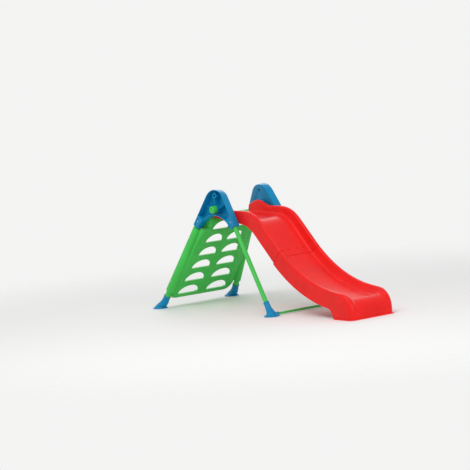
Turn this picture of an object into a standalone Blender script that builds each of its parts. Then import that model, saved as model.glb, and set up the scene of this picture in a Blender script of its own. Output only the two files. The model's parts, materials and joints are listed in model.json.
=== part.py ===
"""Climber slide for small children: a climbing panel on an A-frame and a two-piece chute.

Metres, +Z up. X runs lengthwise from the climbing side to the exit of the chute, and Y runs across.
The right side is -Y, on the right hand of a child that slides down. The origin is on the ground,
below the middle of the slide. Each side frame is drawn flat, in U (lengthwise) and W (up), and then
set out at its splay and its toe-in.
"""

import math

import bmesh
import bpy
import numpy as np
from mathutils import Matrix, Vector

# Overall places
PIVOT_HEIGHT = 0.785

# Side frame
FRAME_HALF_WIDTH = 0.3205         # at the ground, below the pivot
FRAME_TOE_IN = 0.0515             # the frame narrows by this much a metre towards the exit
FRAME_SPLAY = 0.110               # and by this much a metre towards the top
FRONT_FOOT_REACH = 0.670          # pivot to front foot, along the ground
REAR_FOOT_REACH = 0.653
SOCKET_REACH = 0.212              # pivot to leg, at the height of the bracket's sockets
SOCKET_DROP = 0.118               # pivot to that height
FRONT_LEG_RADIUS = 0.0220
REAR_LEG_RADIUS = 0.0170
LEG_WALL = 0.0025
LEG_FOOT_END = 0.034              # height of a leg's lower end inside its foot

# Feet
FOOT_DISC_RADIUS = 0.058
FOOT_DISC_THICKNESS = 0.007
FOOT_HEIGHT = 0.100
FOOT_WALL = 0.0040
FOOT_EDGE_RADIUS = 0.0025
FOOT_SIDES = 28
FOOT_RECESS_RADIUS = 0.036
FOOT_RECESS_DEPTH = 0.003
FRONT_DISC_SHIFT = 0.022          # the front foot's disc reaches further out than its leg

# Brackets
BRACKET_DEPTH = 0.060
BRACKET_RISE = 0.155              # pivot to the top of the bracket
BRACKET_END_DROP = 0.130          # pivot down to the ends of its legs
BRACKET_SCREW_DROP = 0.095
SOCKET_TOP_DROP = 0.065           # pivot down to the end of a leg inside its bracket
HOLLOW_DROP = 0.055               # pivot down to the solid part round the legs
ARCH_DROP = 0.043                 # pivot down to the top of the opening
EYE_RISE = 0.103                  # pivot up to the moulded ring
BRACKET_LEG_WIDTH = 0.051
BRACKET_SKIN = 0.0045
BRACKET_WALL = 0.0050
BRACKET_GROOVE_DEPTH = 0.0035
BRACKET_EDGE_RADIUS = 0.0025
BRACKET_RIB = 0.0035
RIB_INSET = 0.0100                # the ribs stop this far inside the open side
RIB_REACH = 0.094                 # end of a side rib, from the pivot
RIB_RISE = 0.028
ARCH_STEPS = 20
EYE_RADIUS = 0.0195
EYE_HOLE_RADIUS = 0.0125

# Pivot knobs
KNOB_RADIUS = 0.0290
KNOB_LENGTH = 0.0440
KNOB_DISH = 0.0040
KNOB_CLEARANCE = 0.0025           # round the knob, inside the bracket
KNOB_SHANK_RADIUS = 0.0100
KNOB_NUT_RADIUS = 0.0150
KNOB_NUT_THICKNESS = 0.0120
SEAT_RADIUS = 0.0340
SEAT_LENGTH = 0.0490              # chute wall to the face under the knob

# Climbing panel
PANEL_BOTTOM = 0.067
PANEL_TOP_DROP = 0.050            # pivot down to the top of the panel
PANEL_BACK_FOOT = -0.631          # X of the back face at the bottom, from the pivot
PANEL_BACK_RUN = 0.8625           # run of the back face for each metre of height
PANEL_DEPTH_BOTTOM = 0.042
PANEL_DEPTH_TOP = 0.140
PANEL_WEB = 0.018                 # thickness of the wall with the holes, along X
PANEL_RIM = 0.036                 # width of the thick rim round that wall
PANEL_HALF_WIDTH = 0.317          # at the bottom
PANEL_TAPER = 0.098               # loss of half width for each metre of height
PANEL_CORNER_RADIUS = 0.085
PANEL_HEAD_RADIUS = 0.090         # rounds the top of the back, which the chute swings over
PANEL_BROW_RADIUS = 0.030
PANEL_SIDE_RADIUS = 0.024
PANEL_SHOULDER_DROP = 0.159       # above this the panel stands between the brackets
PANEL_HEAD_HALF = 0.212
PANEL_CORNER_STEPS = 4
PANEL_SCREW_HEIGHTS = (0.220, 0.560)
PANEL_EDGE_RADIUS = 0.017
SLEEVE_WALL = 0.0090
SLEEVE_BOTTOM = 0.142
SLEEVE_TOP_DROP = 0.145
HOLE_ROWS = 6
HOLE_FIRST = 0.0976               # height of the lowest tread
HOLE_PITCH = 0.1035
HOLE_HEIGHT = 0.064
HOLE_OFFSET_BOTTOM = 0.139        # hole centre to the middle of the panel
HOLE_OFFSET_TOP = 0.093
HOLE_WIDTH_BOTTOM = 0.203
HOLE_WIDTH_TOP = 0.156
TREAD_REACH = 0.022               # a tread stands out this far from the wall on the climbing side
TREAD_THICKNESS = 0.010

# Ground bar
BAR_RADIUS = 0.0090
BAR_HEIGHT = 0.0140
BAR_SOCKET = 0.030

# Chute
CHUTE_HALF_HEAD = 0.191           # half the width between the brackets, down the run and at the exit
CHUTE_HALF_WIDTH = 0.196
CHUTE_HALF_EXIT = 0.203
CHUTE_WALL = 0.0040
CHUTE_PLAY = 0.0004               # between a side wall and its bracket's seat
CHUTE_BACK = -0.105
CHUTE_FRONT = 1.4770
RIM_DROP = 0.013                  # pivot down to the crest of the side wall
RIM_WIDTH = 0.034
EAR_RISE = 0.043                  # extra height of the side wall at the pivot
EAR_REACH = 0.150
BEND_START = 0.270                # X where the chute starts to fall
BEND_RADIUS = 0.300
CHUTE_ANGLE = math.radians(45)
EXIT_CREST = 0.1895               # height of the crest where the nose starts
RUNOUT_RADIUS = 1.074
RUNOUT_ANGLE = math.radians(8)
NOSE_START = 1.360
BED_DEPTH_HEAD = 0.050            # crest to bed, at the back, down the steep run and at the exit
BED_DEPTH_STEEP = 0.068
BED_DEPTH_EXIT = 0.055
BED_HALF_HEAD = 0.150
BED_HALF = 0.136
BED_CURVE = 0.0200                # width of the round between the bed and the side wall
SKIRT_DEPTH_HEAD = 0.056          # crest to lower edge of the outer wall
SKIRT_DEPTH_BEND = 0.096
SKIRT_DEPTH_STEEP = 0.120
SKIRT_DEPTH_EXIT = 0.137
SKIRT_STEP = 0.013                # the lower piece's skirt hangs lower than the upper one's
NOSE_CORNER = 2.2                 # the front corners are rounder than the rim by this factor
EXIT_FLANGE = 0.011               # reach of the lip round the foot of the exit
EXIT_FLANGE_HEIGHT = 0.006
EDGE_LIFT = 0.002                 # the wall's own edge ends inside the lip, this far above the ground
FOOT_START = 1.190                # X where the skirt's edge turns down to the ground
EXIT_FOOT_RADIUS = 0.075
SEAM_REACH = 0.030                # end of the upper piece, past the steep straight
OVERLAP = 0.085
LAP_GAP = 0.0008                  # between the two pieces where they overlap
RIB_THICKNESS = 0.0035
RIB_DEPTH = 0.030
HEAD_STEPS = 11
BEND_STEPS = 5
RUNOUT_STEPS = 6
NOSE_STEPS = 6

# Fasteners
SECTION_BOLT_RADIUS = 0.0040
SECTION_BOLT_HEAD = 0.0090
SECTION_NUT_RADIUS = 0.0085
SECTION_NUT_THICKNESS = 0.0060
SECTION_BOLT_PLACES = (-0.100, -0.040, 0.040, 0.100)
SCREW_RADIUS = 0.0022
SCREW_HEAD_RADIUS = 0.0060
SCREW_SINK = 0.0015               # depth of the flat under a screw's head
SCREW_GRIP = 0.0060               # length of a screw inside the tube

GAP = 0.0003                      # between pieces that touch

RED = ("red plastic", (0.78, 0.030, 0.026), 0.30)
STEEL = ("zinc plated steel", (0.56, 0.57, 0.58), 0.35)
GREEN = ("green plastic", (0.045, 0.420, 0.075), 0.36)
BLUE = ("blue plastic", (0.004, 0.165, 0.480), 0.28)


# Places worked out from the sizes above

APEX_HEIGHT = PIVOT_HEIGHT + BRACKET_RISE
EYE_HEIGHT = PIVOT_HEIGHT + EYE_RISE
ARCH_TOP = PIVOT_HEIGHT - ARCH_DROP
HOLLOW_START = PIVOT_HEIGHT - HOLLOW_DROP
SOCKET_TOP = PIVOT_HEIGHT - SOCKET_TOP_DROP
SOCKET_HEIGHT = PIVOT_HEIGHT - SOCKET_DROP
BRACKET_SCREW_HEIGHT = PIVOT_HEIGHT - BRACKET_SCREW_DROP
BRACKET_END_HEIGHT = PIVOT_HEIGHT - BRACKET_END_DROP
PANEL_TOP = PIVOT_HEIGHT - PANEL_TOP_DROP
PANEL_SHOULDER = PIVOT_HEIGHT - PANEL_SHOULDER_DROP
SLEEVE_TOP = PIVOT_HEIGHT - SLEEVE_TOP_DROP
RIM_HEIGHT = PIVOT_HEIGHT - RIM_DROP
PIVOT_X = -(CHUTE_FRONT + EXIT_FLANGE - FRONT_FOOT_REACH - FRONT_DISC_SHIFT - FOOT_DISC_RADIUS) / 2


def straight_end():
    """X where the steep straight ends, so that the crest meets its height at the nose."""
    steep = math.tan(CHUTE_ANGLE)
    flat = math.tan(RUNOUT_ANGLE)
    bend_end = BEND_START + BEND_RADIUS * math.sin(CHUTE_ANGLE)
    height = RIM_HEIGHT - BEND_RADIUS * (1 - math.cos(CHUTE_ANGLE)) + bend_end * steep
    height -= RUNOUT_RADIUS * (math.cos(RUNOUT_ANGLE) - math.cos(CHUTE_ANGLE))
    run = NOSE_START - RUNOUT_RADIUS * (math.sin(CHUTE_ANGLE) - math.sin(RUNOUT_ANGLE))
    return (height - run * flat - EXIT_CREST) / (steep - flat)


STRAIGHT_END = straight_end()
SEAM = STRAIGHT_END + SEAM_REACH  # X of the crest where the upper piece ends


def frame_half_width(x, height):
    """Distance from the middle plane to the plane of a side frame, with x from the pivot."""
    return FRAME_HALF_WIDTH - FRAME_TOE_IN * x - FRAME_SPLAY * height


def frame_point(x, height):
    """A point on the plane of the right side frame."""
    return Vector((PIVOT_X + x, -frame_half_width(x, height), height))


def front_leg_point(height):
    run = (FRONT_FOOT_REACH - SOCKET_REACH) / SOCKET_HEIGHT
    return frame_point(-FRONT_FOOT_REACH + run * height, height)


def rear_leg_point(height):
    run = (REAR_FOOT_REACH - SOCKET_REACH) / SOCKET_HEIGHT
    return frame_point(REAR_FOOT_REACH - run * height, height)


LEGS = (("front", front_leg_point, FRONT_LEG_RADIUS), ("rear", rear_leg_point, REAR_LEG_RADIUS))


def frame_matrix():
    """Local X along the right frame, Y inward and Z up its plane, from the ground below the pivot."""
    along = (frame_point(1, 0) - frame_point(0, 0)).normalized()
    up = frame_point(0, 1) - frame_point(0, 0)
    up = (up - along * up.dot(along)).normalized()
    inward = up.cross(along)
    matrix = Matrix((along, inward, up)).transposed().to_4x4()
    matrix.translation = frame_point(0, 0)
    return matrix


# Scene helpers

def clear_scene():
    for found in list(bpy.data.objects):
        bpy.data.objects.remove(found, do_unlink=True)


def new_collection(name):
    collection = bpy.data.collections.new(name)
    bpy.context.scene.collection.children.link(collection)
    return collection


def plain_material(name, colour, roughness, metallic=0.0):
    material = bpy.data.materials.new(name)
    material.use_nodes = True
    shader = material.node_tree.nodes["Principled BSDF"]
    shader.inputs["Base Color"].default_value = (*colour, 1)
    shader.inputs["Roughness"].default_value = roughness
    shader.inputs["Metallic"].default_value = metallic
    material.diffuse_color = (*colour, 1)
    return material


def add_object(name, mesh, material=None):
    """A new object, among the parts if it has a material and otherwise among the cutters."""
    made = bpy.data.objects.new(name, mesh)
    (PARTS if material else CUTTERS).objects.link(made)
    if material:
        mesh.materials.clear()
        mesh.materials.append(material)
        mesh.shade_smooth()
        mesh.set_sharp_from_angle(angle=math.radians(35))
    else:
        made.hide_render = True
        made.display_type = "WIRE"
    return made


def mesh_from(bm, name):
    bmesh.ops.recalc_face_normals(bm, faces=bm.faces)
    mesh = bpy.data.meshes.new(name)
    bm.to_mesh(mesh)
    bm.free()
    return mesh


def cylinder_mesh(name, start, end, radius, sides=28):
    """A cylinder between two points."""
    axis = Vector(end) - Vector(start)
    bm = bmesh.new()
    bmesh.ops.create_cone(
        bm, cap_ends=True, segments=sides, radius1=radius, radius2=radius, depth=axis.length,
    )
    turn = axis.to_track_quat("Z", "Y").to_matrix().to_4x4()
    middle = Matrix.Translation((Vector(start) + Vector(end)) / 2)
    bmesh.ops.transform(bm, matrix=middle @ turn, verts=bm.verts)
    return mesh_from(bm, name)


def box_mesh(name, size, matrix):
    bm = bmesh.new()
    bmesh.ops.create_cube(bm, size=1)
    bmesh.ops.transform(bm, matrix=matrix @ Matrix.Diagonal((*size, 1)), verts=bm.verts)
    return mesh_from(bm, name)


def loft_mesh(name, rings):
    """A closed skin over rings of as many points each, with a flat cap at each end."""
    bm = bmesh.new()
    rows = [[bm.verts.new(point) for point in ring] for ring in rings]
    for row, following in zip(rows, rows[1:]):
        for i, corner in enumerate(row):
            after = (i + 1) % len(row)
            bm.faces.new((corner, row[after], following[after], following[i]))
    bm.faces.new(rows[0])
    bm.faces.new(rows[-1])
    return mesh_from(bm, name)


def baked_mesh(made, name):
    """The object's evaluated mesh, with loose caps joined."""
    graph = bpy.context.evaluated_depsgraph_get()
    mesh = bpy.data.meshes.new_from_object(made.evaluated_get(graph), depsgraph=graph)
    mesh.name = name
    bm = bmesh.new()
    bm.from_mesh(mesh)
    bmesh.ops.remove_doubles(bm, verts=bm.verts, dist=1e-6)
    bm.to_mesh(mesh)
    bm.free()
    return mesh


def plates_mesh(name, outlines, low, high, edge_radius=0.0):
    """Flat outlines in X and Z, filled and given their depth along Y, with rounded edges."""
    curve = bpy.data.curves.new(name, "CURVE")
    curve.dimensions = "2D"
    curve.fill_mode = "BOTH"
    curve.extrude = (high - low) / 2 - edge_radius
    curve.bevel_depth = edge_radius
    curve.bevel_resolution = 1
    curve.offset = -edge_radius
    for outline in outlines:
        spline = curve.splines.new("POLY")
        spline.points.add(len(outline) - 1)
        for point, (x, z) in zip(spline.points, outline):
            point.co = (x, z, 0, 1)
        spline.use_cyclic_u = True
    drawn = bpy.data.objects.new(name, curve)
    CUTTERS.objects.link(drawn)
    mesh = baked_mesh(drawn, name)
    bpy.data.objects.remove(drawn)
    bpy.data.curves.remove(curve)
    upright = Matrix.Rotation(math.radians(90), 4, "X")
    mesh.transform(Matrix.Translation((0, (low + high) / 2, 0)) @ upright)
    return mesh


def plate_mesh(name, outline, low, high, edge_radius=0.0):
    return plates_mesh(name, [outline], low, high, edge_radius)


def turned_object(name, profile, matrix, material, sides=32):
    """A profile of (radius, height) pairs, outer side first, turned about its own Z."""
    mesh = bpy.data.meshes.new(name)
    steps = [(i, i + 1) for i in range(len(profile) - 1)]
    mesh.from_pydata([(radius, 0, height) for radius, height in profile], steps, [])
    made = bpy.data.objects.new(name, mesh)
    CUTTERS.objects.link(made)
    screw = made.modifiers.new("turn", "SCREW")
    screw.steps = sides
    screw.render_steps = sides
    screw.use_merge_vertices = True
    screw.merge_threshold = 0.00001
    solid = baked_mesh(made, name)
    bpy.data.objects.remove(made)
    turned = add_object(name, solid, material)
    turned.matrix_world = matrix
    return turned


def combine(target, mesh, operation, matrix=None):
    """Cuts a mesh from the target or joins it on, and keeps the cutter as a wire guide."""
    guide = add_object(mesh.name, mesh)
    if matrix is not None:
        guide.matrix_world = matrix
    change = target.modifiers.new(mesh.name, "BOOLEAN")
    change.operation = operation
    change.solver = "EXACT"
    change.object = guide


def settle(made):
    """Applies an object's modifiers, so that copies of it can share the result."""
    mesh = baked_mesh(made, made.name)
    made.modifiers.clear()
    material = made.data.materials[0]
    made.data = mesh
    mesh.materials.clear()
    mesh.materials.append(material)
    mesh.shade_smooth()
    mesh.set_sharp_from_angle(angle=math.radians(35))


def mirrored(made):
    """The left-hand twin of a right-hand piece, across the middle plane."""
    flip = Matrix.Diagonal((1, -1, 1, 1))
    mesh = made.data.copy()
    mesh.transform(flip)
    mesh.flip_normals()
    twin = bpy.data.objects.new(made.name.replace("right", "left"), mesh)
    PARTS.objects.link(twin)
    twin.matrix_world = flip @ made.matrix_world @ flip
    return twin


def axis_matrix(origin, direction):
    """A frame at the origin point with its Z along the direction."""
    turn = Vector(direction).to_track_quat("Z", "Y").to_matrix().to_4x4()
    return Matrix.Translation(origin) @ turn


# Legs, feet and ground bar

def tube(name, points, radius, material, resolution=10):
    curve = bpy.data.curves.new(name, "CURVE")
    curve.dimensions = "3D"
    curve.bevel_depth = radius
    curve.bevel_resolution = resolution
    curve.use_fill_caps = True
    spline = curve.splines.new("POLY")
    spline.points.add(len(points) - 1)
    for point, place in zip(spline.points, points):
        point.co = (*place, 1)
    drawn = bpy.data.objects.new(name, curve)
    CUTTERS.objects.link(drawn)
    mesh = baked_mesh(drawn, name)
    bpy.data.objects.remove(drawn)
    bpy.data.curves.remove(curve)
    return add_object(name, mesh, material)


def foot(name, leg_point, leg_radius, disc_shift, bar_end, material):
    """A flared foot: a flat disc that narrows and leans into a socket round the leg."""
    base = leg_point(0) + Vector((disc_shift, 0, 0))
    axis = (leg_point(FOOT_HEIGHT) - leg_point(0)).normalized()
    neck = leg_radius + FOOT_WALL
    flare = FOOT_DISC_RADIUS - neck
    # Height, how far the ring has moved from the disc to the leg, and its radius
    levels = (
        (0.0, 0.0, FOOT_DISC_RADIUS - FOOT_EDGE_RADIUS * 0.4),
        (FOOT_EDGE_RADIUS * 0.4, 0.0, FOOT_DISC_RADIUS),
        (FOOT_DISC_THICKNESS - FOOT_EDGE_RADIUS, 0.0, FOOT_DISC_RADIUS),
        (FOOT_DISC_THICKNESS, 0.0, FOOT_DISC_RADIUS - FOOT_EDGE_RADIUS),
        (FOOT_HEIGHT * 0.12, 0.10, neck + flare * 0.55),
        (FOOT_HEIGHT * 0.20, 0.30, neck + flare * 0.30),
        (FOOT_HEIGHT * 0.35, 0.62, neck + flare * 0.14),
        (FOOT_HEIGHT * 0.55, 0.90, neck + flare * 0.07),
        (FOOT_HEIGHT * 0.75, 1.0, neck + flare * 0.03),
        (FOOT_HEIGHT, 1.0, neck),
    )
    rings = []
    for height, lean, radius in levels:
        centre = base.lerp(leg_point(height), lean)
        centre.z = height
        normal = Vector((0, 0, 1)).lerp(axis, lean).normalized()
        side = normal.cross((0, 1, 0)).normalized()
        across = side.cross(normal)
        angles = (math.tau * step / FOOT_SIDES for step in range(FOOT_SIDES))
        rings.append([centre + (side * math.cos(a) + across * math.sin(a)) * radius for a in angles])
    made = add_object(name, loft_mesh(name, rings), material)
    if bar_end:
        sleeve_start = bar_end - Vector((0, FOOT_WALL, 0))
        sleeve_end = Vector((base.x, base.y + FOOT_DISC_RADIUS + FOOT_WALL, BAR_HEIGHT))
        sleeve = cylinder_mesh(name + "_bar_sleeve", sleeve_start, sleeve_end, BAR_HEIGHT)
        combine(made, sleeve, "UNION")
        beyond = Vector((base.x, 0, BAR_HEIGHT))
        bar_hole = cylinder_mesh(name + "_bar_hole", bar_end, beyond, BAR_RADIUS + GAP)
        combine(made, bar_hole, "DIFFERENCE")
    bore_start = leg_point(LEG_FOOT_END - GAP)
    bore_end = leg_point(FOOT_HEIGHT * 1.4)
    combine(made, cylinder_mesh(name + "_bore", bore_start, bore_end, leg_radius + GAP), "DIFFERENCE")
    recess_top = base + Vector((0, 0, FOOT_RECESS_DEPTH))
    below = base - Vector((0, 0, FOOT_RECESS_DEPTH))
    recess = cylinder_mesh(name + "_recess", below, recess_top, FOOT_RECESS_RADIUS)
    combine(made, recess, "DIFFERENCE")
    settle(made)
    return made


def build_legs_and_feet():
    """The right-hand legs, keyed by place. The feet and the bar need nothing more."""
    rear_base = rear_leg_point(0)
    bar_end = Vector((rear_base.x, rear_base.y + BAR_SOCKET, BAR_HEIGHT))
    pieces = (
        ("front", front_leg_point, FRONT_LEG_RADIUS, -FRONT_DISC_SHIFT, None),
        ("rear", rear_leg_point, REAR_LEG_RADIUS, 0.0, bar_end),
    )
    legs = {}
    for place, leg_point, radius, shift, hole in pieces:
        ends = (leg_point(LEG_FOOT_END), leg_point(SOCKET_TOP))
        legs[place] = tube(f"{place}_leg_right", ends, radius, GREEN_PLASTIC)
        inside = (leg_point(0), leg_point(APEX_HEIGHT))
        bore = cylinder_mesh(f"{place}_leg_inside", *inside, radius - LEG_WALL)
        combine(legs[place], bore, "DIFFERENCE")
        mirrored(foot(f"{place}_foot_right", leg_point, radius, shift, hole, BLUE_PLASTIC))
    inset = Vector((0, GAP, 0))
    far_end = Vector((bar_end.x, -bar_end.y, bar_end.z))
    tube("ground_bar", (bar_end + inset, far_end - inset), BAR_RADIUS, GREEN_PLASTIC, resolution=6)
    return legs


# Brackets

def in_plane(x, height):
    """A point of the frame, in its own plane."""
    point = frame_matrix().inverted() @ frame_point(x, height)
    return Vector((point.x, point.z))


def leg_lines():
    """Each leg's axis in the plane of the frame: a point, the way up it and the way out of it."""
    lines = []
    for side, reach in ((-1, FRONT_FOOT_REACH), (1, REAR_FOOT_REACH)):
        low = in_plane(side * reach, 0)
        up = (in_plane(side * SOCKET_REACH, SOCKET_HEIGHT) - low).normalized()
        lines.append((low, up, Vector((up.y, -up.x)) * side))
    return lines


def tangent_circle(lines, offset, top):
    """Centre and radius of a circle that reaches this height and touches both legs' lines, moved out."""
    rows = [(out.x, out.y - 1) for _, _, out in lines]
    sums = [offset - top + out.dot(point) for point, _, out in lines]
    centre = Vector(np.linalg.solve(rows, sums))
    return centre, top - centre.y


def arch_outline(inset, end_height):
    """The bracket's outline, this far inside its edges and with legs that end square at this height."""
    lines = leg_lines()
    half = BRACKET_LEG_WIDTH / 2 - inset
    outer, outer_radius = tangent_circle(lines, half, APEX_HEIGHT - inset)
    inner, inner_radius = tangent_circle(lines, -half, ARCH_TOP + inset)
    outer_ends = []
    inner_ends = []
    for point, up, out in lines:
        end = point + up * ((end_height - point.y) / up.y)
        outer_ends.append(end + out * half)
        from_centre = end - inner
        reach = math.sqrt(inner_radius ** 2 - from_centre.dot(up) ** 2)
        inner_ends.append(end + out * (reach - from_centre.dot(out)))
    outline = [outer_ends[0]]
    outline += circle_points(outer, outer_radius, lines[0][2], lines[1][2], ARCH_STEPS)
    outline += [outer_ends[1]]
    first, last = inner_ends[1] - inner, inner_ends[0] - inner
    outline += circle_points(inner, inner_radius, first, last, ARCH_STEPS)
    return outline


def circle_points(centre, radius, first, last, steps):
    """Points round a circle, between the directions of two vectors."""
    start = math.atan2(first.y, first.x)
    turn = (math.atan2(last.y, last.x) - start) / steps
    angles = (start + turn * step for step in range(steps + 1))
    return [centre + Vector((math.cos(a), math.sin(a))) * radius for a in angles]


def leg_grooves():
    """Outlines of the shallow grooves down the outside of the bracket's legs."""
    half = BRACKET_LEG_WIDTH / 2 - BRACKET_WALL * 1.6
    outlines = []
    for point, up, out in leg_lines():
        low = point + up * ((BRACKET_END_HEIGHT + BRACKET_WALL - point.y) / up.y)
        high = point + up * ((HOLLOW_START + BRACKET_WALL - point.y) / up.y)
        outlines.append([low + out * half, high + out * half, high - out * half, low - out * half])
    return outlines


def build_bracket():
    """The right bracket: a hollow arch, open outwards, with a smooth skin towards the chute."""
    place = frame_matrix()
    half = BRACKET_DEPTH / 2
    outline = arch_outline(0, BRACKET_END_HEIGHT)
    body = plate_mesh("bracket_right", outline, -half, half, BRACKET_EDGE_RADIUS)
    bracket = add_object("bracket_right", body, BLUE_PLASTIC)
    bracket.matrix_world = place
    skin = half - BRACKET_SKIN
    beyond = -BRACKET_DEPTH
    grooves = plates_mesh("bracket_grooves", leg_grooves(), beyond, -half + BRACKET_GROOVE_DEPTH)
    combine(bracket, grooves, "DIFFERENCE", place)
    hollow = plate_mesh("bracket_hollow", arch_outline(BRACKET_WALL, HOLLOW_START), beyond, skin)
    combine(bracket, hollow, "DIFFERENCE", place)

    eye = in_plane(0, EYE_HEIGHT)
    ring_start = (eye.x, skin + BRACKET_SKIN / 2, eye.y)
    ring_end = (eye.x, -half + BRACKET_WALL, eye.y)
    combine(bracket, cylinder_mesh("bracket_eye", ring_start, ring_end, EYE_RADIUS), "UNION", place)
    eye_ends = ((eye.x, half * 2, eye.y), (eye.x, -half * 2, eye.y))
    eye_hole = cylinder_mesh("bracket_eye_hole", *eye_ends, EYE_HOLE_RADIUS)
    combine(bracket, eye_hole, "DIFFERENCE", place)
    for name, start, end in bracket_ribs():
        along = Vector((end[0] - start[0], 0, end[1] - start[1]))
        turn = along.to_track_quat("X", "Z").to_matrix().to_4x4()
        middle = Vector(((start[0] + end[0]) / 2, 0, (start[1] + end[1]) / 2))
        middle.y = (skin + BRACKET_SKIN / 2 - half + RIB_INSET) / 2
        depth = skin + BRACKET_SKIN / 2 + half - RIB_INSET
        rib = box_mesh(name, (along.length, depth, BRACKET_RIB), Matrix.Translation(middle) @ turn)
        combine(bracket, rib, "UNION", place)

    pivot = Vector((PIVOT_X, 0, PIVOT_HEIGHT))
    seat_inner = pivot - Vector((0, CHUTE_HALF_HEAD + CHUTE_PLAY, 0))
    seat_outer = pivot - Vector((0, CHUTE_HALF_HEAD + SEAT_LENGTH, 0))
    combine(bracket, cylinder_mesh("bracket_seat", seat_inner, seat_outer, SEAT_RADIUS), "UNION")
    bore_start = pivot - Vector((0, CHUTE_HALF_HEAD * 0.8, 0))
    bore_end = pivot - Vector((0, CHUTE_HALF_HEAD + SEAT_LENGTH * 4, 0))
    bore = cylinder_mesh("bracket_bore", bore_start, bore_end, KNOB_SHANK_RADIUS + GAP)
    combine(bracket, bore, "DIFFERENCE")
    for side, leg_point, radius in LEGS:
        low, high = leg_point(BRACKET_END_HEIGHT - BRACKET_DEPTH), leg_point(SOCKET_TOP + GAP)
        combine(bracket, cylinder_mesh(f"bracket_{side}_socket", low, high, radius + GAP), "DIFFERENCE")
    return bracket


def bracket_ribs():
    """Name, start and end of the bracket's inner ribs, in the plane of the frame."""
    lift = KNOB_RADIUS + KNOB_CLEARANCE
    ring = EYE_RADIUS * 0.85
    places = (
        ("bracket_rib_up", 0, PIVOT_HEIGHT + lift, 0, EYE_HEIGHT - ring),
        ("bracket_rib_top", 0, EYE_HEIGHT + ring, 0, APEX_HEIGHT - BRACKET_WALL * 2),
        ("bracket_rib_front", -lift, PIVOT_HEIGHT, -RIB_REACH, PIVOT_HEIGHT + RIB_RISE),
        ("bracket_rib_rear", lift, PIVOT_HEIGHT, RIB_REACH, PIVOT_HEIGHT + RIB_RISE),
    )
    return [(name, in_plane(x0, z0), in_plane(x1, z1)) for name, x0, z0, x1, z1 in places]


# Climbing panel

def panel_back(height):
    """X of the panel's back face, from the pivot."""
    return PANEL_BACK_FOOT + PANEL_BACK_RUN * (height - PANEL_BOTTOM)


def panel_half_width(height):
    return PANEL_HALF_WIDTH - PANEL_TAPER * (height - PANEL_BOTTOM)


def rounded_loss(distance, radius):
    """How far a rounded corner stands back from its flat side, this near to the end."""
    if distance >= radius:
        return 0.0
    return radius - math.sqrt(radius ** 2 - (radius - distance) ** 2)


def panel_front(height):
    """X of the panel's front edge, on the climbing side."""
    rise = (height - PANEL_BOTTOM) / (PANEL_TOP - PANEL_BOTTOM)
    return panel_back(height) - PANEL_DEPTH_BOTTOM - (PANEL_DEPTH_TOP - PANEL_DEPTH_BOTTOM) * rise


def panel_ring(height):
    """The panel's outline at one height: a slab with rounded sides."""
    above = height - PANEL_BOTTOM
    below = PANEL_TOP - height
    foot = rounded_loss(above, PANEL_EDGE_RADIUS)
    back = panel_back(height) - rounded_loss(below, PANEL_HEAD_RADIUS) - foot
    front = panel_front(height) + rounded_loss(below, PANEL_BROW_RADIUS) + foot
    half = PANEL_HEAD_HALF if height > PANEL_SHOULDER else panel_half_width(height)
    half -= rounded_loss(above, PANEL_CORNER_RADIUS) + rounded_loss(below, PANEL_BROW_RADIUS)
    return slab_ring(back, front, half, PANEL_SIDE_RADIUS, height)


def pocket_ring(height):
    """The hollow on the climbing side, at one height."""
    half = PANEL_HEAD_HALF if height > PANEL_SHOULDER else panel_half_width(height)
    back = panel_back(height) - PANEL_WEB
    front = panel_front(height) - PANEL_RIM
    return slab_ring(back, front, half - PANEL_RIM, PANEL_EDGE_RADIUS / 2, height)


def slab_ring(back, front, half, radius, height):
    """A level rectangle with rounded corners, with X from the pivot."""
    radius = min(radius, (back - front) * 0.45)
    ring = []
    corners = ((back, half, 0), (front, half, 1), (front, -half, 2), (back, -half, 3))
    for x, y, turn in corners:
        inward_x = math.copysign(radius, x - (back + front) / 2)
        centre = Vector((PIVOT_X + x - inward_x, y - math.copysign(radius, y), height))
        for step in range(PANEL_CORNER_STEPS + 1):
            angle = math.radians(90) * (turn + step / PANEL_CORNER_STEPS)
            ring.append(centre + Vector((math.cos(angle), math.sin(angle), 0)) * radius)
    return ring


def hole_outline(row, side):
    """One hole for a hand and a foot, in Y and Z: a flat tread below and an arch above."""
    tread = tread_height(row)
    rise = row / (HOLE_ROWS - 1)
    half = (HOLE_WIDTH_BOTTOM + (HOLE_WIDTH_TOP - HOLE_WIDTH_BOTTOM) * rise) / 2
    middle = side * (HOLE_OFFSET_BOTTOM + (HOLE_OFFSET_TOP - HOLE_OFFSET_BOTTOM) * rise)
    corner = HOLE_HEIGHT * 0.12
    crown = HOLE_HEIGHT - corner
    lower_turn = [math.radians(-90 + 45 * step) for step in range(3)]
    upper_turn = [math.radians(15 * step) for step in range(1, 6)]
    right = [(half - corner + corner * math.cos(a), corner + corner * math.sin(a)) for a in lower_turn]
    right += [(half * math.cos(a), corner + crown * math.sin(a)) for a in upper_turn]
    outline = right + [(0, HOLE_HEIGHT)] + [(-y, z) for y, z in reversed(right)]
    return [(middle + y, tread + z) for y, z in outline]


def panel_heights():
    """Heights of the panel's rings: close together where its ends are rounded."""
    steps = [math.radians(90 * step / 5) for step in range(6)]
    low = [PANEL_BOTTOM + PANEL_CORNER_RADIUS * (1 - math.cos(a)) for a in steps]
    shoulder = [PANEL_SHOULDER, PANEL_SHOULDER + PANEL_EDGE_RADIUS * 0.5]
    high = [PANEL_TOP - PANEL_HEAD_RADIUS * (1 - math.cos(a)) for a in reversed(steps)]
    return low + shoulder + high


def tread_height(row):
    return HOLE_FIRST + HOLE_PITCH * row


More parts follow.
